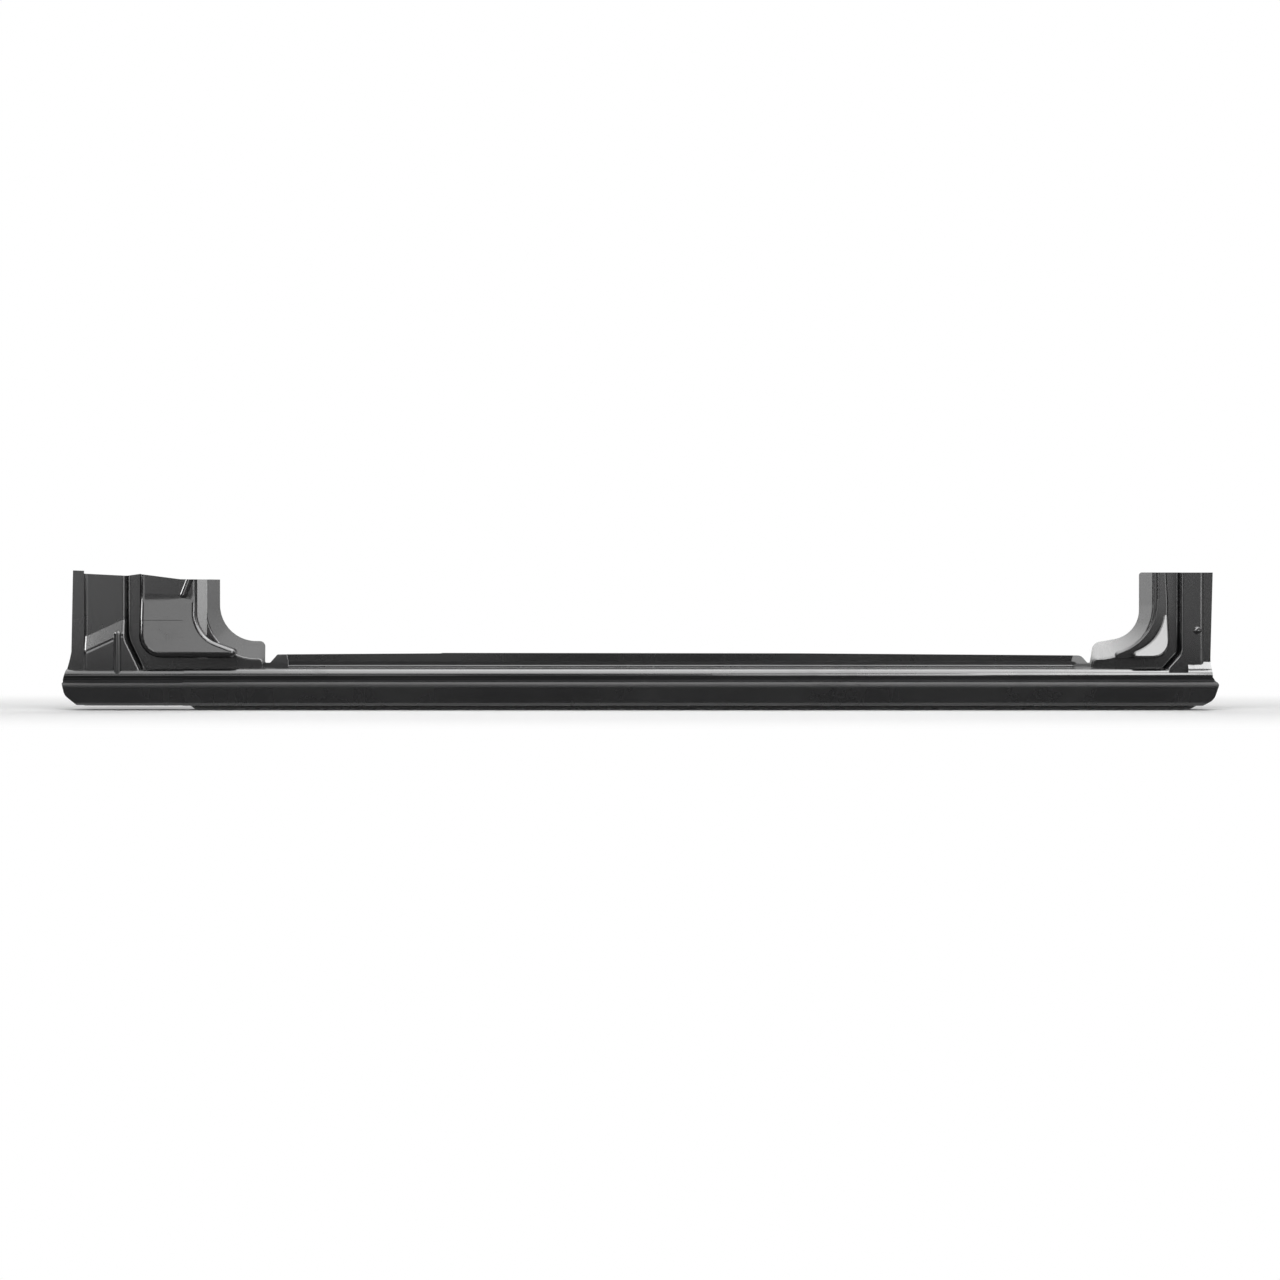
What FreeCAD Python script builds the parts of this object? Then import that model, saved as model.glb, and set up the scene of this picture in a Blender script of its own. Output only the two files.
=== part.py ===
"""Sliding-door rocker panel of a van: one pressed steel sheet.

The outside of the vehicle is -Y, its front is +X, and up is +Z.  All sizes are millimetres.
The origin is on the back face of the lower weld flange, at half the flange's height and at
half the panel's length.

The sheet is made as a press makes it.  die(inset) is the solid that the sheet is drawn
over: with inset 0 its skin is the outer face of the sheet, and with inset = sheet the
inner face.  What lies between the two, inside the outline of the blank, is the panel.
"""

import FreeCAD, Part
import math
import os

App = FreeCAD

# Steel sheet
sheet = 1.2

# Lengths along the vehicle
door_opening = 1300.0
rear_stub_width = 205.0
front_stub_width = 101.0
rear_overhang = 12.5
front_overhang = 4.5

# Heights above the lower flange's edge
skirt_foot = 5.5
skirt_top = 39.0
ridge_top = 60.0
sill_flange_top = 78.5
rear_stub_top = 191.0
front_stub_top = 193.0

# Depths outwards from the upper flange's back face
lower_flange_inset = 15.0
floor_depth = 14.0
shelf_depth = 20.0
pad_depth = 28.0
pad_foot_depth = 48.0
strip_depth = 32.0
face_depth = 36.0
lower_face_depth = 47.0
ridge_depth = 52.0
skirt_depth = 76.0

# Sill section
lower_flange_height = 14.0
tread_fall = 3.0
face_lean = 2.0
ridge_radius = 12.0
skirt_top_radius = 6.0
skirt_foot_radius = 5.0
valley_radius = 4.0
sill_joggle = 1.0
joggle_from_door = 47.0

# Door flange, which falls back from the floor of the stub towards the opening
flange_width = 18.0
flange_foot = 72.0
flange_depth = 11.0
rear_flange_slope = 0.2
front_flange_slope = 0.36
flange_hidden = 6.0
flange_reach = 34.0
lobe_top = 96.0
lobe_radius = 8.0
rear_lobe = 64.0
rear_corner_radius = 51.0
front_lobe = 70.0
front_corner_radius = 57.0

# Notch between a lobe and the sill flange
notch_foot = 65.5
notch_width = 7.0
notch_run = 10.0
notch_radius = 2.0

# Raised areas of both stubs
pad_foot = 73.0
pad_tip_radius = 6.5
pad_crown_radius = 7.0
crown_radius = 5.0
small_crown_radius = 3.0
channel_radius = 4.0
face_root = 50.0

# Rear stub, measured forwards or back from its door edge
rear_pad_inner = 31.0
rear_pad_outer = 112.0
rear_pad_tip = 54.0
rear_pad_bend = 157.0
rear_pad_knee = 32.0
rear_knee_radius = 45.0
rear_heel_radius = 32.0
recess_depth = 1.2
recess_top = 126.0
recess_end = 49.0
rear_face_start = 130.0
rear_face_turn = 100.0
rear_face_run = 24.0
rear_turn_radius = 40.0
rear_strip_width = 15.5
ramp_height = 115.0
ramp_angle = 24.6
ramp_width = 20.0
ramp_radius = 12.0
rib_from_door = 141.0
rib_radius = 5.5
rib_sunk = 1.5
rib_top = 106.0
door_slope_rise = 5.5
crease_foot = 49.5
crease_run = 36.0
crease_above = 4.0
crease_radius = 8.0
crease_sunk = 6.3

# Front stub, measured forwards or back from its door edge
front_shelf_inner = 24.0
front_shelf_outer = 34.0
front_shelf_tip = 55.0
front_shelf_bend = 150.0
front_pad_outer = 40.0
front_pad_tip = 32.0
front_pad_width = 7.0
front_pad_hidden_depth = 12.0
front_pad_knee = 28.0
front_knee_radius = 60.0
front_heel_radius = 24.0
front_face_start = 55.0
front_face_turn = 80.0
front_face_run = 28.0
front_turn_radius = 16.0
front_strip_width = 12.5
front_ramp_start = 66.0
front_face_foot = 63.0
dimple_from_door = 79.0
dimple_above = 111.0
dimple_height = 2.0
dimple_radius = 9.0
pocket_length = 29.0
pocket_lean = 8.0
pocket_foot = 52.0
pocket_top = 66.0
pocket_depth = 38.0
pocket_radius = 1.5
pocket_gap = 1.0

# How far the working solids run past the sheet
beyond = 60.0

overall_length = rear_overhang + rear_stub_width + door_opening + front_stub_width + front_overhang
rear_end = -overall_length / 2
front_end = overall_length / 2
rear_edge = rear_end + rear_overhang
front_edge = front_end - front_overhang
rear_door_edge = rear_edge + rear_stub_width
front_door_edge = front_edge - front_stub_width
above = max(rear_stub_top, front_stub_top) + beyond
rear_limit = rear_end - beyond
front_limit = front_end + beyond


def at(x, depth, height):
    """A point from its place along the vehicle, depth outwards and height on the sill."""
    return App.Vector(x, lower_flange_inset - depth, height - lower_flange_height / 2)


def rounded(corners, place):
    """A closed wire through corners (a, b, radius), each rounded by its own radius."""
    points = [App.Vector(a, b, 0) for a, b, radius in corners]
    count = len(points)
    spans = []
    for i, (a, b, radius) in enumerate(corners):
        to_last = (points[i - 1] - points[i]).normalize()
        to_next = (points[(i + 1) % count] - points[i]).normalize()
        half = to_last.getAngle(to_next) / 2
        reach = radius / math.tan(half)
        middle = points[i] + (to_last + to_next).normalize() * (radius / math.sin(half) - radius)
        spans.append((points[i] + to_last * reach, middle, points[i] + to_next * reach, radius))
    edges = []
    for i, (start, middle, end, radius) in enumerate(spans):
        if radius:
            arc = Part.Arc(*[place(p.x, p.y) for p in (start, middle, end)])
            edges.append(arc.toShape())
        following = spans[(i + 1) % count][0]
        line = Part.LineSegment(place(end.x, end.y), place(following.x, following.y))
        edges.append(line.toShape())
    return Part.Wire(edges)


def shrunk(wire, inset):
    """The face inside a wire, taken in all round by inset."""
    face = Part.Face(wire)
    if inset:
        face = face.makeOffset2D(-inset)
    return face


def along_vehicle(corners, x_from, x_to, inset):
    """A bar with one section (depth, height) along the vehicle."""
    section = rounded(corners, lambda depth, height: at(x_from, depth, height))
    return shrunk(section, inset).extrude(App.Vector(x_to - x_from, 0, 0))


def island(corners, depth, inset):
    """A raised area: an upright wall round it, and its front at one depth."""
    outline = rounded(corners, lambda x, height: at(x, depth - inset, height))
    return shrunk(outline, inset).extrude(App.Vector(0, depth - inset + beyond, 0))


def outward_look(edge, body):
    """How much the faces at an edge look out of the vehicle, the least and the most."""
    middle = edge.valueAt((edge.FirstParameter + edge.LastParameter) / 2)
    sides = [face for face in body.Faces if any(side.isSame(edge) for side in face.Edges)]
    looks = [-face.normalAt(*face.Surface.parameter(middle)).y for face in sides]
    return min(looks), max(looks)


def rim(body):
    """The edges between a raised area's front and its upright wall, where the panel shows them."""
    chosen = []
    for edge in body.Edges:
        middle = edge.valueAt((edge.FirstParameter + edge.LastParameter) / 2)
        height = middle.z + lower_flange_height / 2
        on_panel = abs(middle.x) < overall_length / 2 + 1 and ridge_top < height < above - 1
        wall, front = outward_look(edge, body)
        if on_panel and front > 0.5 and wall < 0.1:
            chosen.append(edge)
    return chosen


def channel_foot(body, inset):
    """The edges where the faces' walls stand on the floor, beside the pads."""
    floor = at(0, floor_depth - inset, 0).y
    rear_side = rear_door_edge - rear_pad_outer
    front_side = front_door_edge + front_pad_outer
    chosen = []
    for edge in body.Edges:
        box = edge.BoundBox
        beside = box.XMax < rear_side or box.XMin > front_side
        on_floor = box.YLength < 0.01 and abs(box.Center.y - floor) < 0.01
        if beside and on_floor and box.ZLength > 5 and outward_look(edge, body)[0] < 0.1:
            chosen.append(edge)
    return chosen


def crowned(body, radius):
    """Rounds the rim of a raised area."""
    return body.makeFillet(radius, rim(body))


def sill(inset):
    """The stepped sill, as a solid behind its skin.  Its rear end is joggled in."""
    flange_front = lower_flange_inset + sheet
    corners = [
        (sheet, above, 0),
        (sheet, ridge_top, valley_radius),
        (ridge_depth, ridge_top - tread_fall, ridge_radius),
        (ridge_depth + face_lean, skirt_top + 1, valley_radius),
        (skirt_depth, skirt_top, skirt_top_radius),
        (skirt_depth - face_lean, skirt_foot, skirt_foot_radius),
        (flange_front, lower_flange_height, valley_radius),
        (flange_front, -beyond, 0),
        (-beyond, -beyond, 0),
        (-beyond, above, 0),
    ]
    joggle = rear_door_edge - joggle_from_door
    rear = along_vehicle(corners, rear_limit, joggle + beyond, inset + sill_joggle)
    front = along_vehicle(corners, joggle + inset, front_limit, inset)
    return rear.fuse(front)


def stub_outline(door_edge, side, outward):
    """The corners of a stub's floor.  side is -1 at the rear stub and 1 at the front one."""
    lobe, radius = (rear_lobe, rear_corner_radius) if side < 0 else (front_lobe, front_corner_radius)
    inner = door_edge + side * (flange_width - outward)
    foot = flange_foot + outward
    tail = door_edge - side * (lobe - notch_radius + outward)
    outer = rear_limit if side < 0 else front_limit
    return [
        (outer, above, 0),
        (inner, above, 0),
        (inner, foot, radius + flange_width - outward),
        (tail, foot, lobe_radius + outward),
        (tail, skirt_top, 0),
        (outer, skirt_top, 0),
    ]


def stub_floor(door_edge, side, inset):
    """The lowest level of a stub, with a rounded step down to the door flange."""
    floor = island(stub_outline(door_edge, side, 0), floor_depth, inset)
    return crowned(floor, small_crown_radius - inset)


def door_flange(door_edge, side, inset):
    """The flange round the door opening, with its slope cut on the rim of a block."""
    slope = rear_flange_slope if side < 0 else front_flange_slope
    depth = flange_depth + slope * flange_hidden - inset * math.hypot(1, slope)
    block = island(stub_outline(door_edge, side, flange_reach), depth, 0)
    run = flange_reach + flange_hidden
    return block.makeChamfer(slope * run, run, rim(block))


def pad(corners, top_depth, bend_height, inset, sunk=0):
    """A raised pad whose front stands upright at the top and leans out below its bend."""
    x_values = [corner[0] for corner in corners]
    slope = (pad_foot_depth - top_depth) / (bend_height - pad_foot)
    front = [
        (top_depth, above, 0),
        (top_depth, bend_height, beyond),
        (pad_foot_depth + slope * pad_foot, 0, 0),
        (-beyond, 0, 0),
        (-beyond, above, 0),
    ]
    bar = along_vehicle(front, min(x_values) - beyond, max(x_values) + beyond, inset + sunk)
    return island(corners, skirt_depth, inset).common(bar)


def recessed(corners, inset):
    """The rear pad, with the lower corner of its front pressed in a little."""
    radius = pad_crown_radius - inset
    proud = crowned(pad(corners, pad_depth, rear_pad_bend, inset), radius)
    sunk = crowned(pad(corners, pad_depth, rear_pad_bend, inset, recess_depth), radius)
    end = rear_door_edge - recess_end + inset
    top = recess_top + inset
    outline = [(rear_limit, top, 0), (end, top, 3), (end, 0, 0), (rear_limit, 0, 0)]
    return proud.cut(island(outline, ridge_depth + beyond, 0)).fuse(sunk)


def lower_face(corners, inset):
    """The lower part of the rear face, which stands further out below a slanting ramp."""
    x = (corners[0][0] + corners[1][0]) / 2
    lean = math.radians(ramp_angle)

    def place(depth, rise):
        return at(x - rise * math.sin(lean), depth, ramp_height + rise * math.cos(lean))

    hidden = 2 * ramp_width
    section = [
        (face_depth - 2 * (lower_face_depth - face_depth), hidden, 0),
        (lower_face_depth, -ramp_width, ramp_radius),
        (lower_face_depth, -2 * skirt_depth, 0),
        (-beyond, -2 * skirt_depth, 0),
        (-beyond, hidden, 0),
    ]
    along = App.Vector(math.cos(lean), 0, math.sin(lean)) * (2 * skirt_depth)
    bar = shrunk(rounded(section, place), inset).extrude(along)
    bar.translate(along * -0.5)
    return island(corners, skirt_depth, inset).common(bar)


def bead(ball, tail, radius):
    """A straight bead with a ball end."""
    run = tail - ball
    return Part.makeCylinder(radius, run.Length, ball, run).fuse(Part.makeSphere(radius, ball))


def door_slope(inset):
    """The slanting band between the rear pad and the flange beside the door."""
    inner = rear_door_edge - flange_width
    outer = rear_door_edge - rear_pad_inner
    drop = inset * math.hypot(inner - outer, door_slope_rise) / (inner - outer)
    corners = [
        (inner, floor_depth - drop),
        (outer, floor_depth + door_slope_rise - drop),
        (outer - pad_tip_radius, floor_depth + door_slope_rise - drop),
        (outer - pad_tip_radius, -beyond),
        (inner, -beyond),
    ]
    section = Part.makePolygon([at(x, depth, flange_foot) for x, depth in corners + corners[:1]])
    return Part.Face(section).extrude(App.Vector(0, 0, above - flange_foot))


def pocket(corners, depth, inset):
    """What a small pressed-in pocket takes from the die."""
    outline = rounded(corners, lambda x, height: at(x, depth - inset, height))
    opening = Part.Face(outline).makeOffset2D(inset) if inset else Part.Face(outline)
    return opening.extrude(App.Vector(0, -beyond, 0))


def strip(x_from, x_to, inset):
    """The joggled strip that the next panel laps over."""
    corners = [(x_from, above, 0), (x_to, above, 0), (x_to, face_root, 0), (x_from, face_root, 0)]
    return island(corners, strip_depth, inset)


def rear_stub(inset):
    door = rear_door_edge
    pad_corners = [
        (door - rear_pad_inner, above, 0),
        (door - rear_pad_outer, above, 0),
        (door - rear_pad_outer, pad_foot, rear_heel_radius),
        (door + rear_pad_tip, pad_foot, pad_tip_radius),
        (door - rear_pad_inner, pad_foot + rear_pad_knee, rear_knee_radius),
    ]
    rib_x = door - rib_from_door
    rib_ball = at(rib_x, lower_face_depth - rib_sunk, rib_top)
    rib_tail = at(rib_x, lower_face_depth - rib_sunk, face_root)
    crease_depth = pad_depth - crease_sunk
    crease_ball = at(door - crease_foot, crease_depth, rear_pad_bend + crease_above)
    crease_tail = at(door - crease_foot + crease_run, crease_depth, above)
    face_end = rear_edge + rear_strip_width
    face_corners = [
        (face_end, above, 0),
        (door - rear_face_start, above, 0),
        (door - rear_face_start, rear_face_turn, rear_turn_radius),
        (door - rear_face_start + rear_face_run, face_root, 0),
        (face_end, face_root, 0),
    ]
    return [
        door_flange(door, -1, inset),
        stub_floor(door, -1, inset),
        recessed(pad_corners, inset),
        crowned(island(face_corners, face_depth, inset), crown_radius - inset),
        crowned(lower_face(face_corners, inset), crown_radius - inset),
        bead(rib_ball, rib_tail, rib_radius - inset),
        bead(crease_ball, crease_tail, crease_radius - inset),
        door_slope(inset),
        strip(rear_limit, face_end + beyond / 4, inset),
    ]


def front_stub(inset):
    door = front_door_edge
    foot = pad_foot - 1
    shelf_corners = [
        (door + front_shelf_inner, above, 0),
        (door + front_shelf_outer, above, 0),
        (door + front_pad_outer, front_shelf_bend, beyond),
        (door + front_pad_outer, foot, front_heel_radius),
        (door - front_shelf_tip, foot, small_crown_radius + sheet),
        (door + front_shelf_inner, foot + front_pad_knee, front_knee_radius + flange_width),
    ]
    pad_corners = [
        (door + front_pad_outer - front_pad_width, front_shelf_bend, 0),
        (door + front_pad_outer, front_shelf_bend, 0),
        (door + front_pad_outer, foot, front_heel_radius),
        (door - front_pad_tip, foot, pad_tip_radius - sheet),
        (door + front_pad_outer - front_pad_width, foot + front_pad_knee, front_knee_radius),
    ]
    triangle = pad(pad_corners, front_pad_hidden_depth, front_shelf_bend, inset)
    face_end = front_edge - front_strip_width
    face_corners = [
        (face_end, above, 0),
        (door + front_face_start, above, 0),
        (door + front_face_start, front_face_turn, front_turn_radius),
        (door + front_face_start - front_face_run, face_root, 0),
        (face_end, face_root, 0),
    ]
    return [
        door_flange(door, 1, inset),
        stub_floor(door, 1, inset),
        crowned(island(shelf_corners, shelf_depth, inset), small_crown_radius - inset),
        crowned(triangle, small_crown_radius - inset),
        crowned(island(face_corners, face_depth, inset), crown_radius - inset),
        strip(front_limit, face_end - beyond / 4, inset),
        front_ramp(door + front_ramp_start + inset, inset),
        dimple(door + dimple_from_door, inset),
    ]


def front_ramp(x_from, inset):
    """The ramp from the foot of the front face out to the ridge."""
    hidden = front_face_foot + strip_depth / 4
    corners = [
        (face_depth - strip_depth / 4, hidden, 0),
        (ridge_depth, front_face_foot - ridge_depth + face_depth, crown_radius),
        (ridge_depth, skirt_top, 0),
        (0, skirt_top, 0),
        (0, hidden, 0),
    ]
    return along_vehicle(corners, x_from, front_limit, inset)


def dimple(x, inset):
    """A small round boss on the front face."""
    centre = at(x, face_depth + dimple_height - dimple_radius, dimple_above)
    return Part.makeSphere(dimple_radius - inset, centre)


def front_pocket(inset):
    """The pocket in the ridge beside the front ramp."""
    end = front_door_edge + front_ramp_start - pocket_gap
    start = end - pocket_length
    corners = [
        (start, pocket_foot, pocket_radius),
        (start + pocket_lean, front_face_foot, pocket_radius),
        (end, pocket_top, pocket_radius),
        (end, pocket_foot, pocket_radius),
    ]
    return pocket(corners, pocket_depth, inset)


def die(inset):
    """The solid that the sheet is drawn over, with its skin taken in by inset."""
    raised = sill(inset).fuse(rear_stub(inset) + front_stub(inset)).removeSplitter()
    raised = raised.makeFillet(channel_radius + inset, channel_foot(raised, inset))
    return raised.cut(front_pocket(inset))


def blank():
    """Everything inside the sheet's trimmed outline, as seen from the side of the vehicle."""
    rear = rear_door_edge
    front = front_door_edge
    rear_notch = rear + rear_lobe
    front_notch = front - front_lobe
    corners = [
        (rear_edge, rear_stub_top + 5, 0),
        (rear_edge + rear_strip_width, rear_stub_top + 4.5, 0),
        (rear_edge + rear_strip_width, rear_stub_top + 0.5, 0),
        (rear - rear_face_start, rear_stub_top - 2.5, 0),
        (rear - rear_pad_outer, rear_stub_top, 0),
        (rear - 54, rear_stub_top - 7.5, 0),
        (rear, rear_stub_top - 8, 0),
        (rear, lobe_top, rear_corner_radius),
        (rear_notch, lobe_top, lobe_radius),
        (rear_notch, notch_foot, notch_radius),
        (rear_notch + notch_width, notch_foot, notch_radius),
        (rear_notch + notch_width + notch_run, sill_flange_top - 1.5, notch_radius),
        (rear + 312, sill_flange_top, 0),
        (rear + 314, sill_flange_top + 0.6, 0),
        (front - 480, sill_flange_top, 0),
        (front_notch - notch_width - 5, sill_flange_top - 3, 9),
        (front_notch - notch_width / 2, notch_foot, notch_radius),
        (front_notch, notch_foot, 1.5),
        (front_notch + 5, lobe_top - 3, 13),
        (front, lobe_top + 9, 42),
        (front, front_stub_top, 4),
        (front_edge, front_stub_top, 0),
        (front_edge - 3, pad_foot - 1, 0),
        (front_edge - 2, 46, 0),
        (front_end, 36, 4),
        (front_end - 7, 15, 18),
        (front_end - 34, 0, 0),
        (rear - 35, 0, 0),
        (rear - 41, skirt_foot - 0.5, 0),
        (rear_end + 25, skirt_foot - 0.5, 8),
        (rear_end + 5, 21, 15),
        (rear_end, 42, 12),
        (rear_end + 8, 71.5, 0),
        (rear_end + 10, 81.5, 0),
    ]
    outline = rounded(corners, lambda x, height: at(x, 0, height))
    return Part.Face(outline).extrude(App.Vector(0, -2 * skirt_depth, 0))


def rocker_panel():
    """The sheet between the two skins, trimmed to the blank."""
    drawn = die(0).cut(die(sheet))
    return drawn.common(blank()).removeSplitter()


if __name__ == "__main__":
    os.makedirs("parts", exist_ok=True)
    panel = rocker_panel()
    print("solids", len(panel.Solids), "valid", panel.isValid(), "volume", round(panel.Volume))
    panel.exportStep("parts/rocker_panel.step")
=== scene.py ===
import math

import bpy
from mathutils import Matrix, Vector


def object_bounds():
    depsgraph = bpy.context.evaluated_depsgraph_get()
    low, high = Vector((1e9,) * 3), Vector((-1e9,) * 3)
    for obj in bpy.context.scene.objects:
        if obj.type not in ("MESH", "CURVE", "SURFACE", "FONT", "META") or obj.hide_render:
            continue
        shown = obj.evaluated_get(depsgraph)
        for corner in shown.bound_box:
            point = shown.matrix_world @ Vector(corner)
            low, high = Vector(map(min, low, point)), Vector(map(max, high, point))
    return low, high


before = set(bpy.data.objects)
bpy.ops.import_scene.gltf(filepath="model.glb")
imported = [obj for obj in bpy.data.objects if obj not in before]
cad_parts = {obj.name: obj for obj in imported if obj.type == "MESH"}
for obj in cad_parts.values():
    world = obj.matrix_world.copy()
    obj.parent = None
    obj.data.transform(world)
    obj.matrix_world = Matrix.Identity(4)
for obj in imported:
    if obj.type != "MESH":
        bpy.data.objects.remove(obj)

cadBox = [list(corner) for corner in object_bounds()]
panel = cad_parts["rocker_panel"]
print("frame loaded:", len(panel.data.polygons), "triangles on the panel")

for leftover in ("Cube", "Light", "Camera"):  # what a new Blender file starts with
    if leftover in bpy.data.objects:
        bpy.data.objects.remove(bpy.data.objects[leftover], do_unlink=True)

sceneNow = bpy.context.scene
sceneNow.view_settings.view_transform = "Standard"


# ---- small helpers

def linkNodes(tree, source, target):
    tree.links.new(source, target)


def addNode(tree, kind, place, **settings):
    node = tree.nodes.new(kind)
    node.location = place
    for name, value in settings.items():
        setattr(node, name, value)
    return node


def newGroup(name, inputs, outputs):
    tree = bpy.data.node_groups.new(name, "ShaderNodeTree")
    for label, kind, start in inputs:
        socket = tree.interface.new_socket(label, in_out="INPUT", socket_type=kind)
        if start is not None:
            socket.default_value = start
    for label, kind in outputs:
        tree.interface.new_socket(label, in_out="OUTPUT", socket_type=kind)
    entry = addNode(tree, "NodeGroupInput", (-900, 0))
    leave = addNode(tree, "NodeGroupOutput", (900, 0))
    return tree, entry, leave


def useGroup(tree, group, place, **values):
    node = addNode(tree, "ShaderNodeGroup", place)
    node.node_tree = group
    for name, value in values.items():
        node.inputs[name].default_value = value
    return node


def mathNode(tree, place, operation, first=None, second=None, third=None, clamp=False):
    node = addNode(tree, "ShaderNodeMath", place, operation=operation, use_clamp=clamp)
    for index, value in enumerate((first, second, third)):
        if value is None:
            continue
        if isinstance(value, (int, float)):
            node.inputs[index].default_value = value
        else:
            linkNodes(tree, value, node.inputs[index])
    return node.outputs[0]


def noiseNode(tree, place, vector, scale, detail=2.0, roughness=0.5):
    node = addNode(tree, "ShaderNodeTexNoise", place)
    node.inputs["Detail"].default_value = detail
    node.inputs["Roughness"].default_value = roughness
    linkNodes(tree, vector, node.inputs["Vector"])
    if isinstance(scale, (int, float)):
        node.inputs["Scale"].default_value = scale
    else:
        linkNodes(tree, scale, node.inputs["Scale"])
    return node.outputs["Fac"]


def spread(tree, place, value, low, high, toLow=0.0, toHigh=1.0, smooth=True):
    node = addNode(tree, "ShaderNodeMapRange", place)
    node.interpolation_type = "SMOOTHSTEP" if smooth else "LINEAR"
    linkNodes(tree, value, node.inputs["Value"])
    node.inputs["From Min"].default_value = low
    node.inputs["From Max"].default_value = high
    node.inputs["To Min"].default_value = toLow
    node.inputs["To Max"].default_value = toHigh
    return node.outputs["Result"]


def fadeOut(tree, place, value, half, soft):
    # full up to half, then smoothly down to nothing over the soft edge
    outer = mathNode(tree, (place[0] - 250, place[1] - 200), "ADD", half, soft)
    node = addNode(tree, "ShaderNodeMapRange", place, interpolation_type="SMOOTHSTEP")
    linkNodes(tree, value, node.inputs["Value"])
    linkNodes(tree, half, node.inputs["From Min"])
    linkNodes(tree, outer, node.inputs["From Max"])
    node.inputs["To Min"].default_value = 1.0
    node.inputs["To Max"].default_value = 0.0
    return node.outputs["Result"]


def seenRay(tree, left, height):
    # one for every ray that ends in the picture: straight, mirrored or through glass
    path = addNode(tree, "ShaderNodeLightPath", (left, height))
    seen = mathNode(tree, (left + 200, height), "ADD", path.outputs["Is Camera Ray"],
                    path.outputs["Is Glossy Ray"])
    return mathNode(tree, (left + 350, height), "ADD", seen,
                    path.outputs["Is Transmission Ray"], clamp=True)


def newGlow(name):
    # a black surface that only shines
    material = bpy.data.materials.new(name)
    material.use_nodes = True
    surface = material.node_tree.nodes["Principled BSDF"]
    surface.inputs["Base Color"].default_value = (0.0, 0.0, 0.0, 1.0)
    surface.inputs["Specular IOR Level"].default_value = 0.0
    surface.inputs["Emission Strength"].default_value = 1.0
    return material, surface


# ---- surface effects, each one node group

# each: where on the noise or slope the effect starts, and where it is full
masks = {
    "cloud": (0.3, 0.7),
    "runs": (0.52, 0.78),
    "faceUp": (0.15, 0.95),
    "patchy": (0.35, 0.72),
    "grainy": (0.48, 0.7),
    "speck": (0.045, 0.02),
    "smearZone": (0.56, 0.72),
    "smudge": (0.4, 0.7),
    "hair": (0.72, 0.8),
    "scuffZone": (0.5, 0.62),
}
runStretch = (55.0, 55.0, 3.0)  # narrow across, long in the way the coat ran down
speckScale = 85.0
scuffTurn = 14.0
scuffStretch = (22.0, 300.0, 900.0)


def makeCoatPeel():
    # the fine waves that a dipped and baked coat dries to
    tree, entry, leave = newGroup(
        "coatPeel",
        [("Vector", "NodeSocketVector", None), ("Fine Scale", "NodeSocketFloat", 420.0),
         ("Wide Scale", "NodeSocketFloat", 60.0), ("Wide Share", "NodeSocketFloat", 1.5)],
        [("Height", "NodeSocketFloat")])
    fine = noiseNode(tree, (-600, 150), entry.outputs["Vector"], entry.outputs["Fine Scale"], 1.0)
    wide = noiseNode(tree, (-600, -150), entry.outputs["Vector"], entry.outputs["Wide Scale"], 1.5)
    wideHeight = mathNode(tree, (-300, -150), "MULTIPLY", wide, entry.outputs["Wide Share"])
    linkNodes(tree, mathNode(tree, (0, 0), "ADD", fine, wideHeight), leave.inputs["Height"])
    return tree


def makeCoatCloud():
    # slow changes of the film along the panel, and the sag lines of the dip
    tree, entry, leave = newGroup(
        "coatCloud",
        [("Vector", "NodeSocketVector", None), ("Scale", "NodeSocketFloat", 7.0)],
        [("Cloud", "NodeSocketFloat"), ("Runs", "NodeSocketFloat")])
    cloud = noiseNode(tree, (-600, 200), entry.outputs["Vector"], entry.outputs["Scale"], 4.0, 0.55)
    squeeze = addNode(tree, "ShaderNodeVectorMath", (-700, -150), operation="MULTIPLY")
    squeeze.inputs[1].default_value = runStretch
    linkNodes(tree, entry.outputs["Vector"], squeeze.inputs[0])
    runs = noiseNode(tree, (-500, -150), squeeze.outputs[0], 1.0, 2.0)
    linkNodes(tree, spread(tree, (0, 200), cloud, *masks["cloud"]), leave.inputs["Cloud"])
    linkNodes(tree, spread(tree, (0, -150), runs, *masks["runs"]), leave.inputs["Runs"])
    return tree


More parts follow.
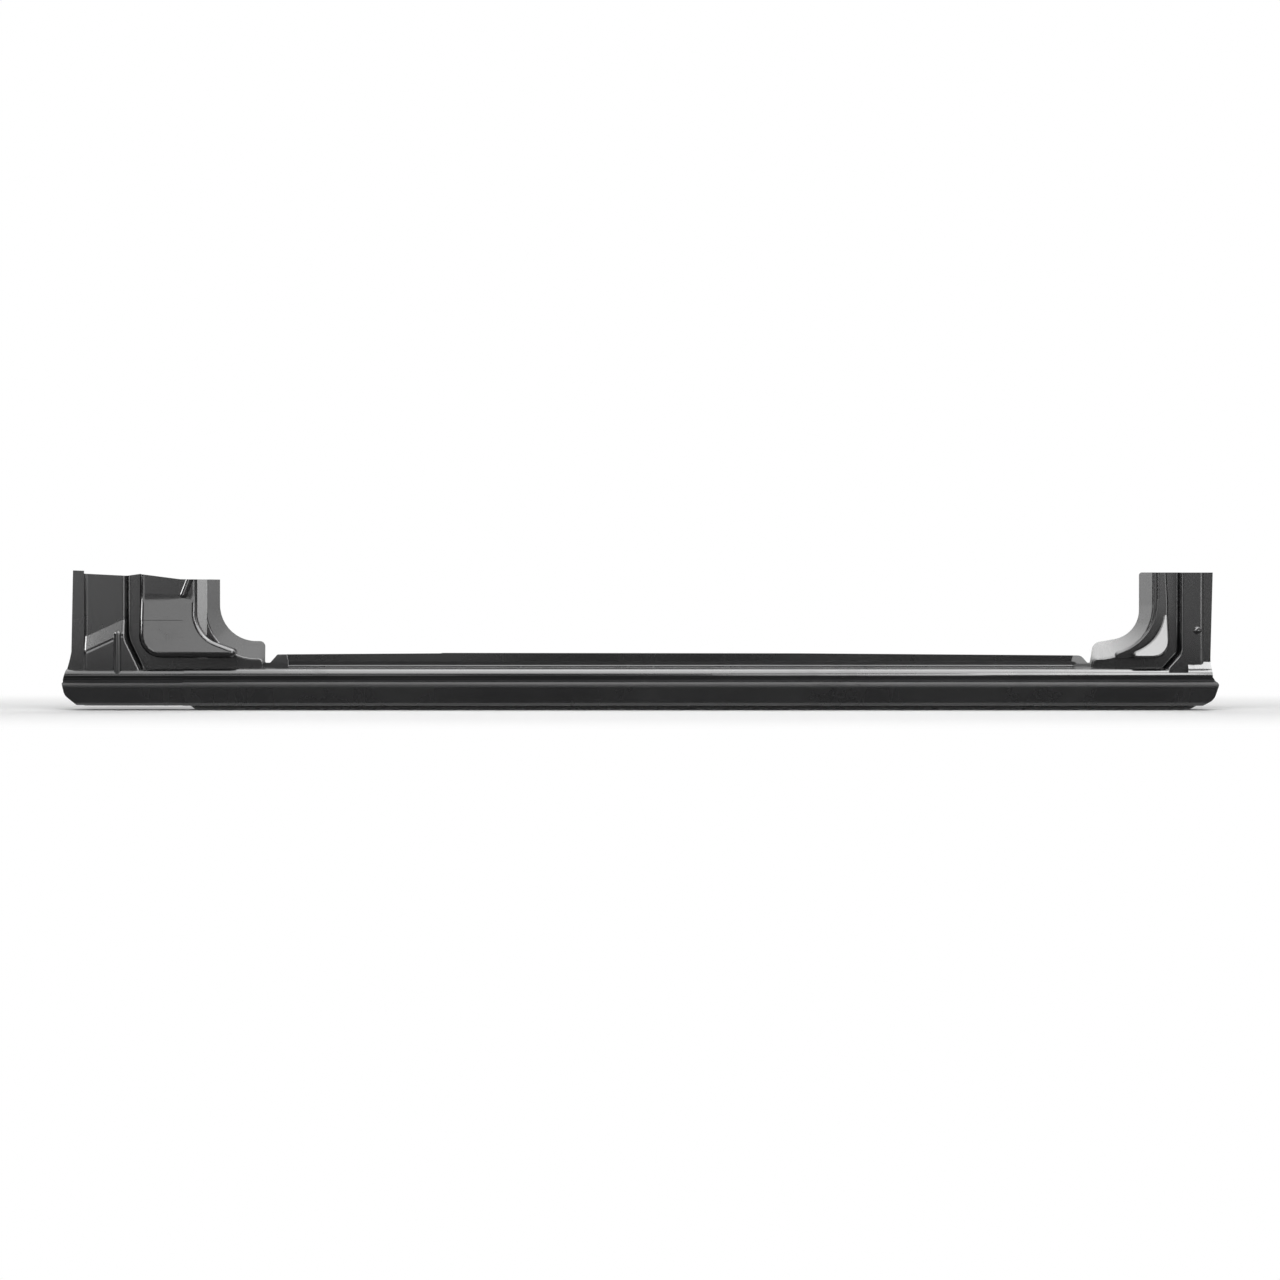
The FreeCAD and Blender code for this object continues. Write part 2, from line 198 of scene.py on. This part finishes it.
def makeShelfDust():
    # fine dust that settles on what faces up, and a few lint specks anywhere
    tree, entry, leave = newGroup(
        "shelfDust",
        [("Vector", "NodeSocketVector", None), ("Grain Scale", "NodeSocketFloat", 1500.0),
         ("Settled", "NodeSocketFloat", 0.5)],
        [("Dust", "NodeSocketFloat"), ("Specks", "NodeSocketFloat")])
    geometry = addNode(tree, "ShaderNodeNewGeometry", (-800, 350))
    split = addNode(tree, "ShaderNodeSeparateXYZ", (-600, 350))
    linkNodes(tree, geometry.outputs["Normal"], split.inputs[0])
    faceUp = spread(tree, (-400, 350), split.outputs["Z"], *masks["faceUp"])
    patches = noiseNode(tree, (-600, 100), entry.outputs["Vector"], 38.0, 3.0)
    patchy = spread(tree, (-400, 100), patches, *masks["patchy"])
    grain = noiseNode(tree, (-600, -100), entry.outputs["Vector"], entry.outputs["Grain Scale"], 1.0)
    grainy = spread(tree, (-400, -100), grain, *masks["grainy"])
    base = mathNode(tree, (-100, 250), "MULTIPLY", faceUp, patchy)
    fine = mathNode(tree, (100, 200), "MULTIPLY", base, grainy)
    settled = mathNode(tree, (300, 200), "MULTIPLY", fine, entry.outputs["Settled"])
    cells = addNode(tree, "ShaderNodeTexVoronoi", (-600, -350))
    cells.inputs["Scale"].default_value = speckScale
    linkNodes(tree, entry.outputs["Vector"], cells.inputs["Vector"])
    dots = spread(tree, (-400, -350), cells.outputs["Distance"], *masks["speck"])
    linkNodes(tree, settled, leave.inputs["Dust"])
    linkNodes(tree, dots, leave.inputs["Specks"])
    return tree


def makeHandMarks():
    # dull smears and hairline scuffs from stacking and carrying
    tree, entry, leave = newGroup(
        "handMarks",
        [("Vector", "NodeSocketVector", None), ("Amount", "NodeSocketFloat", 1.0)],
        [("Smear", "NodeSocketFloat"), ("Scuff", "NodeSocketFloat")])
    zone = noiseNode(tree, (-700, 250), entry.outputs["Vector"], 5.5, 2.0)
    inZone = spread(tree, (-450, 250), zone, *masks["smearZone"])
    smudge = noiseNode(tree, (-700, 0), entry.outputs["Vector"], 46.0, 4.0, 0.65)
    smudged = spread(tree, (-450, 0), smudge, *masks["smudge"])
    smear = mathNode(tree, (-150, 150), "MULTIPLY", inZone, smudged)
    stretchOut = addNode(tree, "ShaderNodeMapping", (-900, -300))
    stretchOut.inputs["Rotation"].default_value = (0.0, math.radians(scuffTurn), 0.0)
    stretchOut.inputs["Scale"].default_value = scuffStretch
    linkNodes(tree, entry.outputs["Vector"], stretchOut.inputs["Vector"])
    hairs = noiseNode(tree, (-650, -300), stretchOut.outputs[0], 1.0, 1.0)
    hair = spread(tree, (-400, -300), hairs, *masks["hair"])
    scuffZone = spread(tree, (-400, -550), zone, *masks["scuffZone"])
    scuff = mathNode(tree, (-150, -350), "MULTIPLY", hair, scuffZone)
    linkNodes(tree, mathNode(tree, (150, 150), "MULTIPLY", smear, entry.outputs["Amount"]),
              leave.inputs["Smear"])
    linkNodes(tree, mathNode(tree, (150, -350), "MULTIPLY", scuff, entry.outputs["Amount"]),
              leave.inputs["Scuff"])
    return tree


def makeDullAndShadeLine():
    # a line along the panel that turns rougher and loses its coat; where the material also turns it
    # matt black, it is painted shade in a fold
    tree, entry, leave = newGroup(
        "dullAndShadeLine",
        [("Vector", "NodeSocketVector", None), ("Line Y", "NodeSocketFloat", 0.0),
         ("Line Z", "NodeSocketFloat", 0.0), ("Half", "NodeSocketFloat", 0.003),
         ("Soft", "NodeSocketFloat", 0.003), ("Amount", "NodeSocketFloat", 1.0)],
        [("Dull Shade", "NodeSocketFloat")])
    split = addNode(tree, "ShaderNodeSeparateXYZ", (-700, 0))
    linkNodes(tree, entry.outputs["Vector"], split.inputs[0])
    offY = mathNode(tree, (-500, 100), "SUBTRACT", split.outputs["Y"], entry.outputs["Line Y"])
    offZ = mathNode(tree, (-500, -100), "SUBTRACT", split.outputs["Z"], entry.outputs["Line Z"])
    squareZ = mathNode(tree, (-400, -200), "MULTIPLY", offZ, offZ)
    squares = mathNode(tree, (-300, 0), "MULTIPLY_ADD", offY, offY, squareZ)
    off = mathNode(tree, (-100, 0), "SQRT", squares)
    share = fadeOut(tree, (150, 0), off, entry.outputs["Half"], entry.outputs["Soft"])
    linkNodes(tree, mathNode(tree, (400, 0), "MULTIPLY", share, entry.outputs["Amount"]),
              leave.inputs["Dull Shade"])
    return tree


coatPeel = makeCoatPeel()
coatCloud = makeCoatCloud()
shelfDust = makeShelfDust()
handMarks = makeHandMarks()
dullAndShadeLine = makeDullAndShadeLine()
print("surface effects made")


# ---- the panel's black dip coat

blackCoat = {
    "color": (0.0065, 0.0065, 0.007, 1.0),
    "cloudColor": (0.0095, 0.0095, 0.010, 1.0),
    "dustColor": (0.16, 0.155, 0.145, 1.0),
    "roughness": 0.24,
    "cloudRoughness": 0.05,
    "runsRoughness": 0.04,
    "smearRoughness": 0.10,
    "scuffRoughness": 0.22,
    "ior": 1.55,
    "coat": 1.0,
    "coatRoughness": 0.08,
    "dustShare": 0.22,
    "speckShare": 0.35,
    "peelHeight": 0.000006,
    "dullRoughness": 0.34,
    # what each takes off the coat layer
    "smearWear": -0.35,
    "dustWear": -1.2,
    "scuffWear": -0.4,
    # across and up from the origin, half width, soft edge, amount, share that turns matt black as
    # painted shade in the fold
    "dullAndShadeLines": {
        # skirtFold, riserFoot and flangeFold paint shade into the folds; skirtEdge only turns rougher
        # and loses its coat
        "skirtFold": (-0.0402, 0.0348, 0.0028, 0.0018, 1.0, 0.85),
        "riserFoot": (-0.0375, 0.0393, 0.0013, 0.002, 1.0, 0.85),
        "flangeFold": (0.0145, 0.0572, 0.0022, 0.0015, 1.0, 0.35),
        "skirtEdge": (-0.059, 0.0305, 0.0035, 0.003, 1.0, 0.0),
    },
}


def makeBlackCoat(look):
    material = bpy.data.materials.new("blackDipCoat")
    material.use_nodes = True
    tree = material.node_tree
    surface = tree.nodes["Principled BSDF"]
    surface.inputs["IOR"].default_value = look["ior"]
    surface.inputs["Coat Roughness"].default_value = look["coatRoughness"]
    surface.inputs["Coat IOR"].default_value = look["ior"]
    places = addNode(tree, "ShaderNodeTexCoord", (-1700, 0)).outputs["Object"]
    cloud = useGroup(tree, coatCloud, (-1300, 300))
    dust = useGroup(tree, shelfDust, (-1300, 0))
    marks = useGroup(tree, handMarks, (-1300, -250))
    peel = useGroup(tree, coatPeel, (-1300, -550))
    for group in (cloud, dust, marks, peel):
        linkNodes(tree, places, group.inputs["Vector"])

    tint = addNode(tree, "ShaderNodeMix", (-800, 400), data_type="RGBA")
    tint.inputs["A"].default_value = look["color"]
    tint.inputs["B"].default_value = look["cloudColor"]
    linkNodes(tree, cloud.outputs["Cloud"], tint.inputs["Factor"])
    specks = mathNode(tree, (-1000, 100), "MULTIPLY", dust.outputs["Specks"], look["speckShare"])
    settled = mathNode(tree, (-1000, -50), "MULTIPLY", dust.outputs["Dust"], look["dustShare"])
    dusty = mathNode(tree, (-800, 50), "MAXIMUM", specks, settled)
    dusted = addNode(tree, "ShaderNodeMix", (-500, 350), data_type="RGBA")
    linkNodes(tree, dusty, dusted.inputs["Factor"])
    linkNodes(tree, tint.outputs["Result"], dusted.inputs["A"])
    dusted.inputs["B"].default_value = look["dustColor"]
    linkNodes(tree, dusted.outputs["Result"], surface.inputs["Base Color"])

    dull = mathNode(tree, (-900, -200), "MULTIPLY_ADD", cloud.outputs["Cloud"],
                    look["cloudRoughness"], look["roughness"])
    dull = mathNode(tree, (-750, -250), "MULTIPLY_ADD", cloud.outputs["Runs"],
                    look["runsRoughness"], dull)
    dull = mathNode(tree, (-600, -300), "MULTIPLY_ADD", marks.outputs["Smear"],
                    look["smearRoughness"], dull)
    dull = mathNode(tree, (-450, -350), "MULTIPLY_ADD", marks.outputs["Scuff"],
                    look["scuffRoughness"], dull)
    lines = 0.0
    paintedFoldShade = 0.0
    for row, (name, (lineY, lineZ, half, soft, amount, paintedShadeShare)) in enumerate(look["dullAndShadeLines"].items()):
        level = -800 - 250 * row
        line = useGroup(tree, dullAndShadeLine, (-1300, level), Half=half, Soft=soft, Amount=amount)
        line.inputs["Line Y"].default_value = lineY
        line.inputs["Line Z"].default_value = lineZ
        line.label = name
        linkNodes(tree, places, line.inputs["Vector"])
        share = line.outputs["Dull Shade"]
        lines = mathNode(tree, (-1000, level), "MAXIMUM", lines, share)
        foldShade = mathNode(tree, (-1000, level - 100), "MULTIPLY", share, paintedShadeShare)
        paintedFoldShade = mathNode(tree, (-850, level - 100), "MAXIMUM", paintedFoldShade, foldShade)
    # painted shade: metallic over the near-black base colour reflects almost nothing, so the folds
    # show dark
    linkNodes(tree, paintedFoldShade, surface.inputs["Metallic"])
    dull = mathNode(tree, (-300, -350), "MULTIPLY_ADD", lines, look["dullRoughness"], dull)
    linkNodes(tree, dull, surface.inputs["Roughness"])

    coatWornAndShaded = mathNode(tree, (-750, -450), "MULTIPLY_ADD", marks.outputs["Smear"],
                    look["smearWear"], look["coat"])
    coatWornAndShaded = mathNode(tree, (-600, -450), "MULTIPLY_ADD", dusty, look["dustWear"], coatWornAndShaded)
    coatWornAndShaded = mathNode(tree, (-450, -450), "MULTIPLY_ADD", marks.outputs["Scuff"],
                    look["scuffWear"], coatWornAndShaded)
    # the same lines take the coat off as well, so the folds reflect less: part of the painted shade
    coatWornAndShaded = mathNode(tree, (-300, -450), "SUBTRACT", coatWornAndShaded, lines, clamp=True)
    linkNodes(tree, coatWornAndShaded, surface.inputs["Coat Weight"])

    bump = addNode(tree, "ShaderNodeBump", (-400, -650))
    bump.inputs["Distance"].default_value = look["peelHeight"]
    bump.inputs["Strength"].default_value = 1.0
    linkNodes(tree, peel.outputs["Height"], bump.inputs["Height"])
    linkNodes(tree, bump.outputs["Normal"], surface.inputs["Normal"])
    return material


panel.material_slots[0].material = makeBlackCoat(blackCoat)
print("black coat on the panel")


# ---- floor and backdrop

floorGap = 0.0002  # from the panel's lowest edge down to the floor
boardGap = 0.0001  # from the floor up to the board that lies on it

studio = {
    "floorHeight": cadBox[0][2] - floorGap,
    "floorReach": 9.0,
    "white": (0.9, 0.9, 0.9, 1.0),
    "floorRoughness": 0.9,
    "shadowReach": 0.36,
    "shadowFade": 0.85,
    "shadowStretch": (0.4, 1.0, 1.0),
    "boardFrom": 0.085,
    "boardReach": 4.0,
    "boardWidth": 4.4,
    "boardTone": 0.12,
    # each: width, height, place, turn about the upright, level at its left and at its right
    "cards": (("rearCard", 0.22, 0.21, (-0.33, -0.95, 0.205), 0.0, 2.0, 2.0),
              ("rearCurveCard", 0.41, 0.19, (-0.495, -0.95, 0.405), 0.0, 3.0, 2.6),
              ("frontCurveCard", 0.44, 0.55, (0.34, -0.95, 0.615), 0.0, 3.0, 7.6),
              ("frontLobeCard", 0.40, 0.70, (0.76, -0.95, 1.06), 0.0, 7.6, 8.4),
              ("frontCard", 0.055, 0.18, (0.828, -0.95, 0.205), 0.0, 1.3, 1.3),
              ("endCard", 0.13, 0.125, (-0.955, -0.115, 0.2635), 107.0, 12.0, 12.0)),
}


def makeFloorMaterial(look):
    # lit floor that keeps the shadow by the object and turns plain white further out
    material = bpy.data.materials.new("paleFloor")
    material.use_nodes = True
    tree = material.node_tree
    surface = tree.nodes["Principled BSDF"]
    surface.inputs["Base Color"].default_value = look["white"]
    surface.inputs["Roughness"].default_value = look["floorRoughness"]
    surface.inputs["Specular IOR Level"].default_value = 0.0
    result = tree.nodes["Material Output"]
    glow = addNode(tree, "ShaderNodeEmission", (0, -300))
    glow.inputs["Color"].default_value = (1.0, 1.0, 1.0, 1.0)
    seen = seenRay(tree, -900, 300)
    places = addNode(tree, "ShaderNodeTexCoord", (-1300, 0))
    squash = addNode(tree, "ShaderNodeVectorMath", (-1100, 0), operation="MULTIPLY")
    squash.inputs[1].default_value = look["shadowStretch"]
    linkNodes(tree, places.outputs["Object"], squash.inputs[0])
    away = addNode(tree, "ShaderNodeVectorMath", (-900, 0), operation="LENGTH")
    linkNodes(tree, squash.outputs[0], away.inputs[0])
    far = spread(tree, (-700, 0), away.outputs["Value"], look["shadowReach"], look["shadowFade"])
    share = mathNode(tree, (-350, 150), "MULTIPLY", seen, far)
    blend = addNode(tree, "ShaderNodeMixShader", (250, 0))
    linkNodes(tree, share, blend.inputs[0])
    linkNodes(tree, surface.outputs[0], blend.inputs[1])
    linkNodes(tree, glow.outputs[0], blend.inputs[2])
    linkNodes(tree, blend.outputs[0], result.inputs["Surface"])
    return material


def addPlane(name, size, place, turn, material):
    bpy.ops.object.select_all(action="DESELECT")
    bpy.ops.mesh.primitive_plane_add(size=1.0, location=place, rotation=turn)
    plane = bpy.context.object
    plane.name = name
    plane.scale = (size[0], size[1], 1.0)
    plane.data.materials.append(material)
    return plane


addPlane("studioFloor", (2.0 * studio["floorReach"], 2.0 * studio["floorReach"]),
         (0.0, 0.0, studio["floorHeight"]), (0.0, 0.0, 0.0), makeFloorMaterial(studio))
bpy.ops.object.transform_apply(location=False, rotation=False, scale=True)


def makeBoardMaterial(left, right):
    # its level runs evenly from its left edge to its right edge
    material, surface = newGlow("boardCloth")
    tree = material.node_tree
    places = addNode(tree, "ShaderNodeTexCoord", (-900, 0))
    split = addNode(tree, "ShaderNodeSeparateXYZ", (-700, 0))
    linkNodes(tree, places.outputs["Object"], split.inputs[0])
    level = spread(tree, (-500, 0), split.outputs["X"], -0.5, 0.5, left, right, smooth=False)
    linkNodes(tree, level, surface.inputs["Emission Color"])
    return material


def onlyInGloss(card):
    # a glossy face sees it; it lights nothing, shades nothing and stays out of the picture
    card.visible_camera = False
    card.visible_diffuse = False
    card.visible_shadow = False
    card.visible_transmission = False


boardDepth = studio["boardReach"] - studio["boardFrom"]
floorBoard = addPlane("floorBoard", (studio["boardWidth"], boardDepth),
                      (0.0, -studio["boardFrom"] - boardDepth / 2.0, studio["floorHeight"] + boardGap),
                      (0.0, 0.0, 0.0), makeBoardMaterial(studio["boardTone"], studio["boardTone"]))
onlyInGloss(floorBoard)
for name, width, height, place, turn, left, right in studio["cards"]:
    card = addPlane(name, (width, height), place, (math.radians(90.0), 0.0, math.radians(turn)),
                    makeBoardMaterial(left, right))
    onlyInGloss(card)
print("floor set")


# ---- light tent: the soft boxes and dark cloths that show in the gloss

# roll goes from the front horizon over the top to the back, side from left to right, in degrees;
# each: roll middle, half, soft edge, side middle, half, soft edge, level
tentWindows = {
    "wholeTent": (90.0, 180.0, 1.0, 0.0, 90.0, 1.0, 0.05),
    "lowMiddle": (1.0, 4.0, 3.0, 0.0, 12.0, 3.5, 0.2),
    "lowLeft": (1.0, 4.0, 3.0, -19.0, 3.5, 3.0, 0.62),
    "lowRight": (1.0, 4.0, 3.0, 21.5, 4.5, 2.0, 0.62),
    "leftBox": (8.0, 12.0, 6.0, -27.0, 4.0, 3.0, 3.2),
    "rightBox": (5.0, 12.0, 6.0, 35.0, 4.0, 4.0, 5.2),
    "frontBox": (27.0, 6.0, 3.0, -16.0, 7.0, 5.0, 1.9),
    "ceiling": (86.0, 28.0, 8.0, 0.0, 40.0, 20.0, 2.0),
    "ceilingRight": (86.0, 28.0, 8.0, 18.0, 27.0, 5.0, 2.2),
    "rampBox": (90.0, 8.0, 5.0, 21.0, 4.0, 4.0, 4.0),
    "backWall": (134.0, 10.0, 26.0, 0.0, 60.0, 20.0, 1.2),
    "backLow": (174.0, 5.0, 4.0, 0.0, 60.0, 20.0, 0.1),
}
# each: the way to it from the panel, half width, soft edge, level
tentSpots = {
    "endLampRight": ((0.85, -0.45, 0.15), 14.0, 8.0, 0.6),
}
tentShape = {"reach": 4.0, "segments": 96, "rings": 48}


def makeTentWindow():
    names = ("Roll", "Side", "Roll Middle", "Roll Half", "Roll Soft",
             "Side Middle", "Side Half", "Side Soft", "Level")
    tree, entry, leave = newGroup("tentWindow", [(name, "NodeSocketFloat", 0.0) for name in names],
                                  [("Light", "NodeSocketFloat")])
    shares = []
    for row, name in enumerate(("Roll", "Side")):
        off = mathNode(tree, (-500, -300 * row), "SUBTRACT",
                       entry.outputs[name], entry.outputs[name + " Middle"])
        off = mathNode(tree, (-300, -300 * row), "ABSOLUTE", off)
        shares.append(fadeOut(tree, (-100, -300 * row), off,
                              entry.outputs[name + " Half"], entry.outputs[name + " Soft"]))
    both = mathNode(tree, (150, 0), "MULTIPLY", shares[0], shares[1])
    linkNodes(tree, mathNode(tree, (350, 0), "MULTIPLY", both, entry.outputs["Level"]),
              leave.inputs["Light"])
    return tree


def makeTentSpot():
    tree, entry, leave = newGroup(
        "tentSpot",
        [("Direction", "NodeSocketVector", None), ("Aim", "NodeSocketVector", None),
         ("Half", "NodeSocketFloat", 10.0), ("Soft", "NodeSocketFloat", 5.0),
         ("Level", "NodeSocketFloat", 1.0)],
        [("Light", "NodeSocketFloat")])
    aim = addNode(tree, "ShaderNodeVectorMath", (-700, -150), operation="NORMALIZE")
    linkNodes(tree, entry.outputs["Aim"], aim.inputs[0])
    near = addNode(tree, "ShaderNodeVectorMath", (-500, 0), operation="DOT_PRODUCT")
    linkNodes(tree, entry.outputs["Direction"], near.inputs[0])
    linkNodes(tree, aim.outputs[0], near.inputs[1])
    angle = mathNode(tree, (-300, 0), "ARCCOSINE", near.outputs["Value"])
    angle = mathNode(tree, (-150, 0), "DEGREES", angle)
    share = fadeOut(tree, (50, 0), angle, entry.outputs["Half"], entry.outputs["Soft"])
    linkNodes(tree, mathNode(tree, (300, 0), "MULTIPLY", share, entry.outputs["Level"]),
              leave.inputs["Light"])
    return tree


def makeTentMaterial(windows, spots):
    windowGroup = makeTentWindow()
    spotGroup = makeTentSpot()
    material, surface = newGlow("tentCloth")
    tree = material.node_tree
    places = addNode(tree, "ShaderNodeNewGeometry", (-2200, 0))
    away = addNode(tree, "ShaderNodeVectorMath", (-2000, 0), operation="NORMALIZE")
    linkNodes(tree, places.outputs["Position"], away.inputs[0])
    split = addNode(tree, "ShaderNodeSeparateXYZ", (-1800, 0))
    linkNodes(tree, away.outputs[0], split.inputs[0])
    forward = mathNode(tree, (-1600, -100), "MULTIPLY", split.outputs["Y"], -1.0)
    roll = mathNode(tree, (-1400, -100), "ARCTAN2", split.outputs["Z"], forward)
    roll = mathNode(tree, (-1200, -100), "DEGREES", roll)
    side = mathNode(tree, (-1600, 150), "ARCSINE", split.outputs["X"])
    side = mathNode(tree, (-1400, 150), "DEGREES", side)
    total = 0.0
    for row, (name, values) in enumerate(windows.items()):
        box = useGroup(tree, windowGroup, (-900, 600 - 320 * row))
        box.label = name
        linkNodes(tree, roll, box.inputs["Roll"])
        linkNodes(tree, side, box.inputs["Side"])
        for socket, value in zip(list(box.inputs)[2:], values):
            socket.default_value = value
        total = mathNode(tree, (-600, 600 - 320 * row), "ADD", total, box.outputs["Light"])
    for row, (name, (aim, half, soft, level)) in enumerate(spots.items()):
        lamp = useGroup(tree, spotGroup, (-300, 600 - 320 * row),
                        Aim=aim, Half=half, Soft=soft, Level=level)
        lamp.label = name
        linkNodes(tree, away.outputs[0], lamp.inputs["Direction"])
        total = mathNode(tree, (-50, 600 - 320 * row), "ADD", total, lamp.outputs["Light"])
    linkNodes(tree, total, surface.inputs["Emission Color"])
    return material


def addTent(shape):
    bpy.ops.object.select_all(action="DESELECT")
    bpy.ops.mesh.primitive_uv_sphere_add(segments=shape["segments"], ring_count=shape["rings"],
                                         radius=shape["reach"], location=(0.0, 0.0, 0.0))
    tent = bpy.context.object
    tent.name = "lightTent"
    tent.data.materials.append(makeTentMaterial(tentWindows, tentSpots))
    onlyInGloss(tent)


addTent(tentShape)
print("tent hung:", len(tentWindows) + len(tentSpots), "soft boxes and cloths")


# ---- light

roomLight = {"strength": 0.25, "white": 1.0}


def makeRoom(look):
    world = bpy.data.worlds.new("studioRoom")
    sceneNow.world = world
    world.use_nodes = True
    tree = world.node_tree
    back = tree.nodes["Background"]
    back.inputs["Color"].default_value = (1.0, 1.0, 1.0, 1.0)
    seen = seenRay(tree, -900, 0)
    level = spread(tree, (-350, 0), seen, 0.0, 1.0, look["strength"], look["white"], smooth=False)
    linkNodes(tree, level, back.inputs["Strength"])


lampTable = {
    # name: width, height, place, aim, radiance
    "keyLamp": (3.4, 1.8, (0.0, -2.0, 2.2), (0.0, -0.03, 0.1), 3.0),
    "leftLamp": (1.2, 1.2, (-2.4, -1.6, 1.1), (0.0, 0.0, 0.1), 2.0),
    "rightLamp": (1.2, 1.2, (2.4, -1.6, 1.1), (0.0, 0.0, 0.1), 2.0),
    "backLamp": (3.4, 1.2, (0.0, 1.8, 1.8), (0.0, -0.03, 0.06), 2.4),
}


def addLamp(name, width, height, place, aim, radiance):
    data = bpy.data.lights.new(name, "AREA")
    data.shape = "RECTANGLE"
    data.size = width
    data.size_y = height
    data.energy = radiance * math.pi * width * height
    lamp = bpy.data.objects.new(name, data)
    sceneNow.collection.objects.link(lamp)
    lamp.location = place
    lamp.rotation_euler = (Vector(aim) - Vector(place)).to_track_quat("-Z", "Y").to_euler()
    lamp.visible_camera = False
    lamp.visible_glossy = False  # the tent stands for it in the gloss


makeRoom(roomLight)
for lampName, values in lampTable.items():
    addLamp(lampName, *values)
print("lamps hung:", len(lampTable))


# ---- camera

view = {
    "lens": 135.0,
    "sensor": 36.0,
    "elevation": 1.0,
    "fill": 0.9,  # share of the picture's width that the panel takes
    "clipEnd": 100.0,
}


def addCamera(look):
    low, high = [Vector(corner) for corner in cadBox]
    middle = (low + high) / 2.0
    distance = (high.x - low.x) / look["fill"] * look["lens"] / look["sensor"]
    tilt = math.radians(look["elevation"])
    data = bpy.data.cameras.new("photoCamera")
    data.lens = look["lens"]
    data.sensor_width = look["sensor"]
    camera = bpy.data.objects.new("photoCamera", data)
    sceneNow.collection.objects.link(camera)
    camera.location = middle + Vector((0.0, -math.cos(tilt), math.sin(tilt))) * distance
    camera.rotation_euler = (math.radians(90.0) - tilt, 0.0, 0.0)
    data.clip_end = look["clipEnd"]
    sceneNow.camera = camera


addCamera(view)
print("camera set")
